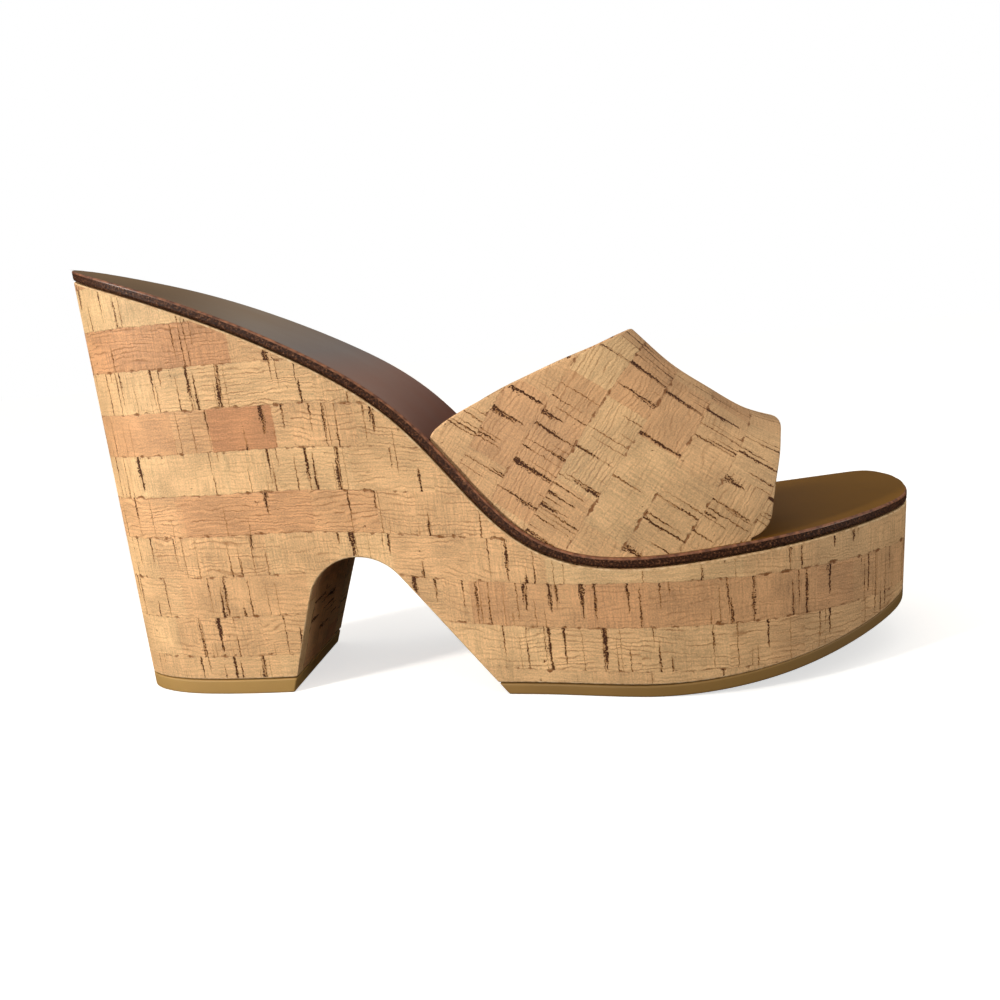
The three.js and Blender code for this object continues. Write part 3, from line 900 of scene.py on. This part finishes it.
def streaks(tree, run, within, grain, density):
    """Upright lenticels. Each has a cell of its own along the strip and grows from a strip's edge.

    They stand in groups, thin out towards their tips and are broken into ragged lengths.
    """
    gather = add(tree, "Math", (run, STREAK_GROUP), operation="DIVIDE")
    gather = add(tree, "TexNoise", {"W": gather, "Scale": 1.0}, noise_dimensions="1D")
    gather = add(tree, "Math", (gather, 1.6, -0.8), operation="MULTIPLY_ADD")
    crumb = add(tree, "Math", (grain, 7.0, -4.1), operation="MULTIPLY_ADD")
    broken = add(tree, "CombineXYZ", (run, within))
    broken = add(tree, "TexNoise", {"Vector": broken, "Scale": 1.9, "Detail": 2.0})
    broken = add(tree, "MapRange", {"Value": broken, 1: 0.36, 2: 0.56, 3: 0.15, 4: 1.2})
    ragged = add(tree, "Math", (grain, 4.0, -1.0), operation="MULTIPLY_ADD")
    ragged = add(tree, "Math", (ragged, broken), operation="MULTIPLY")
    core, fringe = None, None
    for index, (spacing, half_width, share, short) in enumerate(STREAKS):
        place = add(tree, "Math", (run, 1 / spacing, 31.7 * (index + 1)), operation="MULTIPLY_ADD")
        cell = add(tree, "TexVoronoi", {"W": place, "Scale": 1.0}, voronoi_dimensions="1D")
        chance = add(tree, "SeparateColor", (cell.outputs["Color"],)).outputs
        away = add(tree, "Math", (cell.outputs["Distance"], spacing), operation="MULTIPLY")
        root = add(tree, "Math", (chance[1],), operation="ROUND")
        climb = add(tree, "Math", (within, root), operation="SUBTRACT")
        climb = add(tree, "Math", (climb,), operation="ABSOLUTE")
        reach = add(tree, "Math", (chance[2], short, 1.15), operation="MULTIPLY_ADD")
        reach = add(tree, "Math", (reach, short), operation="SUBTRACT")
        left = add(tree, "Math", (reach, climb), operation="SUBTRACT")
        width = add(tree, "Math", (chance[1], half_width, 0.35 * half_width), operation="MULTIPLY_ADD")
        taper = add(tree, "Math", (left, 1.1, 0.3), operation="MULTIPLY_ADD", use_clamp=True)
        width = add(tree, "Math", (width, taper), operation="MULTIPLY")
        width = add(tree, "Math", (width, ragged), operation="MULTIPLY")
        inside = add(tree, "Math", (width, away), operation="SUBTRACT")
        held = add(tree, "Math", (density, share, gather), operation="MULTIPLY_ADD")
        present = add(tree, "Math", (chance[0], held), operation="LESS_THAN")
        ends = add(tree, "Math", (left, 14.0), operation="MULTIPLY", use_clamp=True)
        present = add(tree, "Math", (present, ends), operation="MULTIPLY")
        dark = add(tree, "Math", (inside, 9.0, crumb), operation="MULTIPLY_ADD", use_clamp=True)
        dark = add(tree, "Math", (dark, present), operation="MULTIPLY")
        soft = add(tree, "Math", (inside, 5.0, 0.6), operation="MULTIPLY_ADD", use_clamp=True)
        soft = add(tree, "Math", (soft, present), operation="MULTIPLY")
        core = dark if core is None else add(tree, "Math", (core, dark), operation="MAXIMUM")
        fringe = soft if fringe is None else add(tree, "Math", (fringe, soft), operation="MAXIMUM")
    return core, fringe


def growth_lines(tree, run, up, seed):
    """Wavy lines along the strip, strong here and faint there, and the tone that swells between."""
    along = add(tree, "Math", (run, 0.045), operation="MULTIPLY")
    rise = add(tree, "Math", (up, 0.11), operation="MULTIPLY")
    flow = add(tree, "CombineXYZ", (along, rise, seed))
    flow = add(tree, "TexNoise", {"Vector": flow, "Scale": 1.0, "Detail": 3.0})
    phase = add(tree, "Math", (flow, 7.0), operation="MULTIPLY")
    phase = add(tree, "Math", (up, 1 / GROWTH_SPACING, phase), operation="MULTIPLY_ADD")
    wave = add(tree, "Math", (phase, 0.5), operation="PINGPONG")
    line = add(tree, "MapRange", {"Value": wave, 1: 0.0, 2: 0.20, 3: 1.0, 4: 0.0})
    along = add(tree, "Math", (run, 0.12), operation="MULTIPLY")
    fade = add(tree, "CombineXYZ", (along, up, seed))
    fade = add(tree, "TexNoise", {"Vector": fade, "Scale": 0.8, "Detail": 1.0})
    fade = add(tree, "MapRange", {"Value": fade, 1: 0.38, 2: 0.62})
    wave = add(tree, "Math", (wave, fade), operation="MULTIPLY")
    return add(tree, "Math", (line, fade), operation="MULTIPLY"), wave


# %% Fine marks
def hatching(tree, place, chance):
    """Cells lie in rows: in some blocks the fine hatching runs across the strip, in others along it."""
    hatches = []
    for stretch in ((2.2, 0.14), (0.12, 2.4)):
        fine = add(tree, "VectorMath", {0: place, 1: (*stretch, 1.0)}, operation="MULTIPLY")
        hatches.append(add(tree, "TexNoise", {"Vector": fine, "Scale": 1.0, "Detail": 3.0}))
    lie = add(tree, "MapRange", {"Value": chance, 1: 0.40, 2: 0.60})
    return add(tree, "Mix", {"Factor": lie, 2: hatches[0], 3: hatches[1]}, data_type="FLOAT")


def pits(tree, place, cloud):
    """Brown crumbs, half a millimetre to two across, more of them in some places."""
    pit = add(tree, "TexNoise", {"Vector": place, "Scale": 0.55, "Detail": 4.0, "Roughness": 0.6})
    pit = add(tree, "Math", (cloud, 0.35, pit), operation="MULTIPLY_ADD")
    return add(tree, "MapRange", {"Value": pit, 1: 0.885, 2: 0.935})


def joints(tree, sheet, row):
    """Thin joints between the strips, here and there with crumbs of over a millimetre."""
    edge = add(tree, "Math", (row, 0.5), operation="PINGPONG")
    edge = add(tree, "Math", (edge, STRIP), operation="MULTIPLY")
    crumbs = add(tree, "TexNoise", {"Vector": sheet, "Scale": 0.35, "Detail": 4.0})
    wide = add(tree, "MapRange", {"Value": crumbs, 1: 0.54, 2: 0.72, 4: 0.6})
    edge = add(tree, "Math", (edge, wide), operation="SUBTRACT")
    joint = add(tree, "MapRange", {"Value": edge, 1: 0.0, 2: 0.22, 3: 1.0, 4: 0.0})
    crumbs = add(tree, "MapRange", {"Value": crumbs, 1: 0.46, 2: 0.66, 3: 0.15, 4: 1.0})
    return add(tree, "Math", (joint, crumbs), operation="MULTIPLY")


# %% [markdown]
# All marks come together on the sheet, measured in millimetres from the UV map. They darken the
# ground tone one after another, from the faint growth lines to the nearly black cores, and the same
# marks lie a little lower in the bump, so that they catch the light as in real veneer.


# %% Sealed cork veneer
def cork(name, lean=0.0, chart=None, light=1.0):
    """lean turns the strips on the sheet, chart places the blocks, light scales the whole tone; below 1
    it is painted shade.
    """
    material, tree, shader = new_material(name)
    flat = add(tree, "UVMap", uv_map="sheet")
    sheet = add(tree, "Mapping", {"Vector": flat, "Scale": [1 / MM] * 3, "Rotation": (0, 0, lean)})
    # The veneer's lines are ragged: each place is nudged by up to half a millimetre
    ragged = add(tree, "TexNoise", {"Vector": sheet, "Scale": 0.9, "Detail": 4.0})
    nudge = add(tree, "VectorMath", (ragged.outputs["Color"], (0.5, 0.5, 0.5)), operation="SUBTRACT")
    nudge = add(tree, "VectorMath", {0: nudge, "Scale": 1.1}, operation="SCALE")
    place = add(tree, "VectorMath", (sheet, nudge), operation="ADD")
    across, up, _ = add(tree, "SeparateXYZ", (place,)).outputs
    row = add(tree, "Math", (up, STRIP_FOOT), operation="SUBTRACT")
    row = add(tree, "Math", (row, STRIP), operation="DIVIDE")
    strip = add(tree, "Math", (row,), operation="FLOOR")
    within = add(tree, "Math", (row,), operation="FRACT")
    run, charted, chances = bark_blocks(tree, across, strip, chart)
    pink, grown, streaked = add(tree, "SeparateColor", (charted,)).outputs
    chance = add(tree, "SeparateColor", (chances,)).outputs
    seed = add(tree, "Math", (chance[1], 60.0), operation="MULTIPLY")
    grain = add(tree, "TexNoise", {"Vector": sheet, "Scale": 2.2, "Detail": 3.0})
    cloud = add(tree, "TexNoise", {"Vector": sheet, "Scale": 0.09, "Detail": 3.0})
    growth, wave = growth_lines(tree, run, up, seed)
    core, fringe = streaks(tree, run, within, grain, streaked)
    hatch = hatching(tree, place, chance[1])
    pit = pits(tree, place, cloud)
    joint = joints(tree, sheet, row)
    # Colour, from the ground tone up to the dark cores
    tone = add(tree, "Math", (chance[0], 0.16, -0.08), operation="MULTIPLY_ADD")
    tone = add(tree, "Math", (tone, pink), operation="ADD")
    tone = add(tree, "ValToRGB", (tone,))
    set_stops(tone, CORK_TONES)
    shade = add(tree, "Math", (hatch, cloud), operation="ADD")
    shade = add(tree, "Math", (shade, grain), operation="ADD")
    wave = add(tree, "Math", (wave, grown), operation="MULTIPLY")
    shade = add(tree, "Math", (wave, 0.5, shade), operation="MULTIPLY_ADD")
    shade = add(tree, "MapRange", {"Value": shade, 1: 1.0, 2: 2.0, 3: 0.56 * light, 4: 1.40 * light})
    colour = add(tree, "VectorMath", {0: tone, "Scale": shade}, operation="SCALE")
    lines = add(tree, "Math", (growth, grown), operation="MULTIPLY")
    lines = add(tree, "Math", (lines, 0.85), operation="MULTIPLY")
    darkening = [
        (lines, "9A673A"), (joint, "8A5A30"), (fringe, "A46F3B"), (pit, "7A4C28"), (core, "4A2810"),
    ]
    for amount, dark in darkening:
        layers = {"Factor": amount, 6: colour, 7: linear(dark)}
        colour = add(tree, "Mix", layers, data_type="RGBA").outputs[2]
    tree.links.new(colour, shader.inputs["Base Color"])
    # The sealed surface: cores, pits and joints lie a little lower
    holes = add(tree, "Math", (core, pit), operation="MAXIMUM")
    depth = add(tree, "Math", (grain, 0.35), operation="MULTIPLY")
    depth = add(tree, "Math", (hatch, 0.25, depth), operation="MULTIPLY_ADD")
    for amount, share in ((holes, -1.0), (joint, -0.5), (lines, -0.3)):
        depth = add(tree, "Math", (amount, share, depth), operation="MULTIPLY_ADD")
    bump = add(tree, "Bump", {"Strength": 0.6, "Distance": 0.35 * MM, "Height": depth})
    tree.links.new(bump.outputs[0], shader.inputs["Normal"])
    rough = add(tree, "Math", (holes, 0.25, 0.55), operation="MULTIPLY_ADD")
    tree.links.new(rough.outputs[0], shader.inputs["Roughness"])
    shader.inputs["IOR"].default_value = 1.4
    return material


wrap_cork = cork("sealed_cork_veneer", chart=WRAP_CHART)
# The band's veneer is the same cork painted 6 % darker all over, as painted shade
upper_cork = cork("sealed_cork_veneer_upper", lean=math.radians(-54), light=0.94)


# %% Plain surfaces
def plain_surface(name, stops, patch, detail=3.0, cell=0.0, bump=(0.0, 0.0), rough=0.7, ior=1.5):
    """A tone mottled in patches, over a grain of cells. Sizes and the bump's depth are in mm."""
    material, tree, shader = new_material(name)
    here = add(tree, "TexCoord").outputs["Object"]
    mottle = add(tree, "TexNoise", {"Vector": here, "Scale": 1 / (patch * MM), "Detail": detail})
    tone = add(tree, "ValToRGB", (mottle,))
    set_stops(tone, stops)
    tree.links.new(tone.outputs[0], shader.inputs["Base Color"])
    if cell:
        strength, depth = bump
        cells = add(tree, "TexVoronoi", {"Vector": here, "Scale": 1 / (cell * MM)})
        relief = add(tree, "Bump", {"Strength": strength, "Distance": depth * MM, "Height": cells})
        tree.links.new(relief.outputs[0], shader.inputs["Normal"])
    shader.inputs["Roughness"].default_value = rough
    shader.inputs["IOR"].default_value = ior
    return material


# The veneer's cut edge is paler and plain, because no seal has darkened it
cork_edge = plain_surface(
    "cut_cork_edge", [(0.30, "B99062"), (0.55, "DDB98A"), (0.75, "E8CDA2")], 1.11, rough=0.75, ior=1.45
)

# %% [markdown]
# ## Leather
# The footbed is smooth glazed leather: dark brown, olive under the toes and redder at the arch, with
# a soft shine that grows at a low angle. Towards the heel its tone is painted paler and greyer as a
# painted sheen, with a grey patch a third of the way along as a painted reflection. The band round
# its edge is the same hide left grained, and the rim between the two is painted lighter as a painted
# highlight. The inside of the upper is lined with plain pigskin.


# %% Footbed leather
def along_shoe(tree, here):
    """From 0 at the heel to 1 at the toe."""
    axes = add(tree, "SeparateXYZ", {0: here})
    return add(tree, "MapRange", {0: axes, 1: cad_low.x, 2: cad_high.x})


def glazed_leather():
    material, tree, shader = new_material("glazed_calf_leather")
    here = add(tree, "TexCoord").outputs["Object"]
    tone = add(tree, "ValToRGB", (along_shoe(tree, here),))
    # The paler, greyer stops at the heel are painted sheen and the grey stop at 0.30 is a painted
    # reflection; the olive toe and red arch are the leather's own tone
    set_stops(tone, [
        (0.00, "8A6C48"), (0.20, "7C6042"), (0.30, "665450"), (0.36, "7E4C38"), (0.50, "7A4434"),
        (0.72, "6E4814"), (1.00, "8A5F18"),
    ])
    cloud = add(tree, "TexNoise", {"Vector": here, "Scale": 40.0, "Detail": 3.0})
    light = add(tree, "MapRange", {0: cloud, 3: 0.8, 4: 1.2})
    colour = add(tree, "VectorMath", {0: tone, "Scale": light}, operation="SCALE")
    tree.links.new(colour.outputs[0], shader.inputs["Base Color"])
    pores = add(tree, "TexVoronoi", {"Vector": here, "Scale": 1 / (0.7 * MM)})
    bump = add(tree, "Bump", {"Strength": 0.12, "Distance": 0.05 * MM, "Height": pores})
    tree.links.new(bump.outputs[0], shader.inputs["Normal"])
    rough = add(tree, "MapRange", {0: cloud, 3: 0.30, 4: 0.44})
    tree.links.new(rough.outputs[0], shader.inputs["Roughness"])
    shader.inputs["IOR"].default_value = 1.3
    return material


# Specks of worn finish sit on the high grain of the edge band
grained_leather = plain_surface(
    "grained_leather_edge_band",
    [(0.38, "2C160B"), (0.55, "482A19"), (0.66, "724A31"), (0.76, "A07654")],
    0.5, cell=0.55, bump=(0.5, 0.12), rough=0.5, ior=1.3,
)
# The insole's upper rim is painted lighter and redder than the band below it, as a painted highlight
# where its rounded edge catches the light
rim_painted_highlight = plain_surface(
    "leather_rim_painted_highlight", [(0.35, "5A3422"), (0.65, "9A6444")], 1.5, rough=0.4, ior=1.45
)
# The lining is unglazed pigskin, with its small pores
lining_leather = plain_surface(
    "pigskin_lining", [(0.30, "8A6440"), (0.70, "A67C52")], 16.7, 4.0, cell=1.1, bump=(0.3, 0.08)
)

# %% Rubber
def moulded_rubber():
    """Tan sole rubber, nearly matt and finely textured, paler under the heel and painted darker towards
    the toe as painted shade.
    """
    material, tree, shader = new_material("moulded_sole_rubber")
    here = add(tree, "TexCoord").outputs["Object"]
    tone = add(tree, "ValToRGB", (along_shoe(tree, here),))
    # The ramp darkens the rubber from heel to toe as painted shade on the forefoot
    set_stops(tone, [(0.25, "AD884C"), (0.50, "93703A"), (1.00, "7D5E2B")])
    cloud = add(tree, "TexNoise", {"Vector": here, "Scale": 50.0, "Detail": 3.0})
    light = add(tree, "MapRange", {"Value": cloud, 3: 0.8, 4: 1.2})
    colour = add(tree, "VectorMath", {0: tone, "Scale": light}, operation="SCALE")
    tree.links.new(colour.outputs[0], shader.inputs["Base Color"])
    fine = add(tree, "TexNoise", {"Vector": here, "Scale": 1 / (0.4 * MM), "Detail": 2.0})
    bump = add(tree, "Bump", {"Strength": 0.2, "Distance": 0.05 * MM, "Height": fine})
    tree.links.new(bump.outputs[0], shader.inputs["Normal"])
    shader.inputs["Roughness"].default_value = 0.6
    return material


rubber = moulded_rubber()
finish_piece(wedge, "wedge", "cork_wrap", wrap_cork, cork_edge)
finish_piece(heel_lift, "heel_lift", "sole_rubber", rubber)
finish_piece(outsole, "outsole", "sole_rubber", rubber)
finish_piece(insole, "insole", "footbed_leather", glazed_leather(), grained_leather, rim_painted_highlight)
finish_piece(upper, "upper", "band_cork", upper_cork, lining_leather)

# %% [markdown]
# ## Light and floor
# A pale floor runs out to a white surround, which lights the shoe softly from above and in front.
# A soft spot on the heel's side is the brighter window, and it fades before the forefoot. Two weak
# panels help: one behind gives the insole its sheen, one in front of the toe keeps its wall light.

# %% Floor
bpy.ops.object.select_all(action="DESELECT")
bpy.ops.mesh.primitive_circle_add(vertices=96, radius=6, fill_type="NGON", location=(0, 0, 0))
floor = bpy.context.object
floor.name = "floor"
material, tree, shader = new_material("pale_floor")
shader.inputs["Base Color"].default_value = linear("E8E7E5")
shader.inputs["Roughness"].default_value = 0.9
shader.inputs["Specular IOR Level"].default_value = 0.1
shader.inputs["Emission Color"].default_value = (1, 1, 1, 1)
shader.inputs["Emission Strength"].default_value = 0.62
floor.data.materials.append(material)
floor.visible_diffuse = False
floor.visible_glossy = False


# %% White room
def white_room():
    """White to the camera. As light it comes from above and a little in front."""
    world = bpy.data.worlds.new("white_room")
    world.use_nodes = True
    tree = world.node_tree
    tree.nodes.clear()
    way = add(tree, "TexCoord").outputs["Generated"]
    aim = Vector((0.06, -0.26, 0.96)).normalized()
    facing = add(tree, "VectorMath", (way, aim), operation="DOT_PRODUCT").outputs[1]
    strength = add(tree, "MapRange", {"Value": facing, 1: -0.05, 2: 1.0, 3: 0.01, 4: 0.82})
    light = add(tree, "Background", {"Color": linear("FFFAF3"), "Strength": strength})
    seen = add(tree, "Background", {"Color": (1, 1, 1, 1), "Strength": 1.0})
    camera_ray = add(tree, "LightPath").outputs["Is Camera Ray"]
    both = add(tree, "MixShader", (camera_ray, light, seen))
    add(tree, "OutputWorld", {"Surface": both})
    return world


bpy.context.scene.world = white_room()


# %% Lights
def add_light(kind, name, place, aim, power, colour):
    bpy.ops.object.select_all(action="DESELECT")
    bpy.ops.object.light_add(type=kind, location=place)
    lamp = bpy.context.object
    lamp.name = name
    lamp.rotation_euler = (Vector(aim) - Vector(place)).to_track_quat("-Z", "Y").to_euler()
    lamp.data.energy = power
    lamp.data.color = colour
    lamp.visible_camera = False
    return lamp


window_place, heel_middle = (-0.85, -0.62, 0.42), (-0.092, -0.02, 0.065)
window = add_light("SPOT", "window", window_place, heel_middle, 96, (1.0, 0.96, 0.91))
window.data.spot_size = math.radians(14.5)
window.data.spot_blend = 1.0
window.data.shadow_soft_size = 0.12
sheen = add_light("AREA", "sheen", (-0.20, 1.5, 0.50), (0, 0, 0.08), 0.6, (1.0, 0.92, 0.80))
sheen.data.size = 0.6
fill = add_light("AREA", "fill", (1.3, -0.40, 0.25), (0.09, 0, 0.03), 4.4, (1.0, 0.97, 0.92))
fill.data.size = 0.5
bpy.context.scene.view_settings.view_transform = "Standard"
print("lights:", window.name, sheen.name, fill.name)
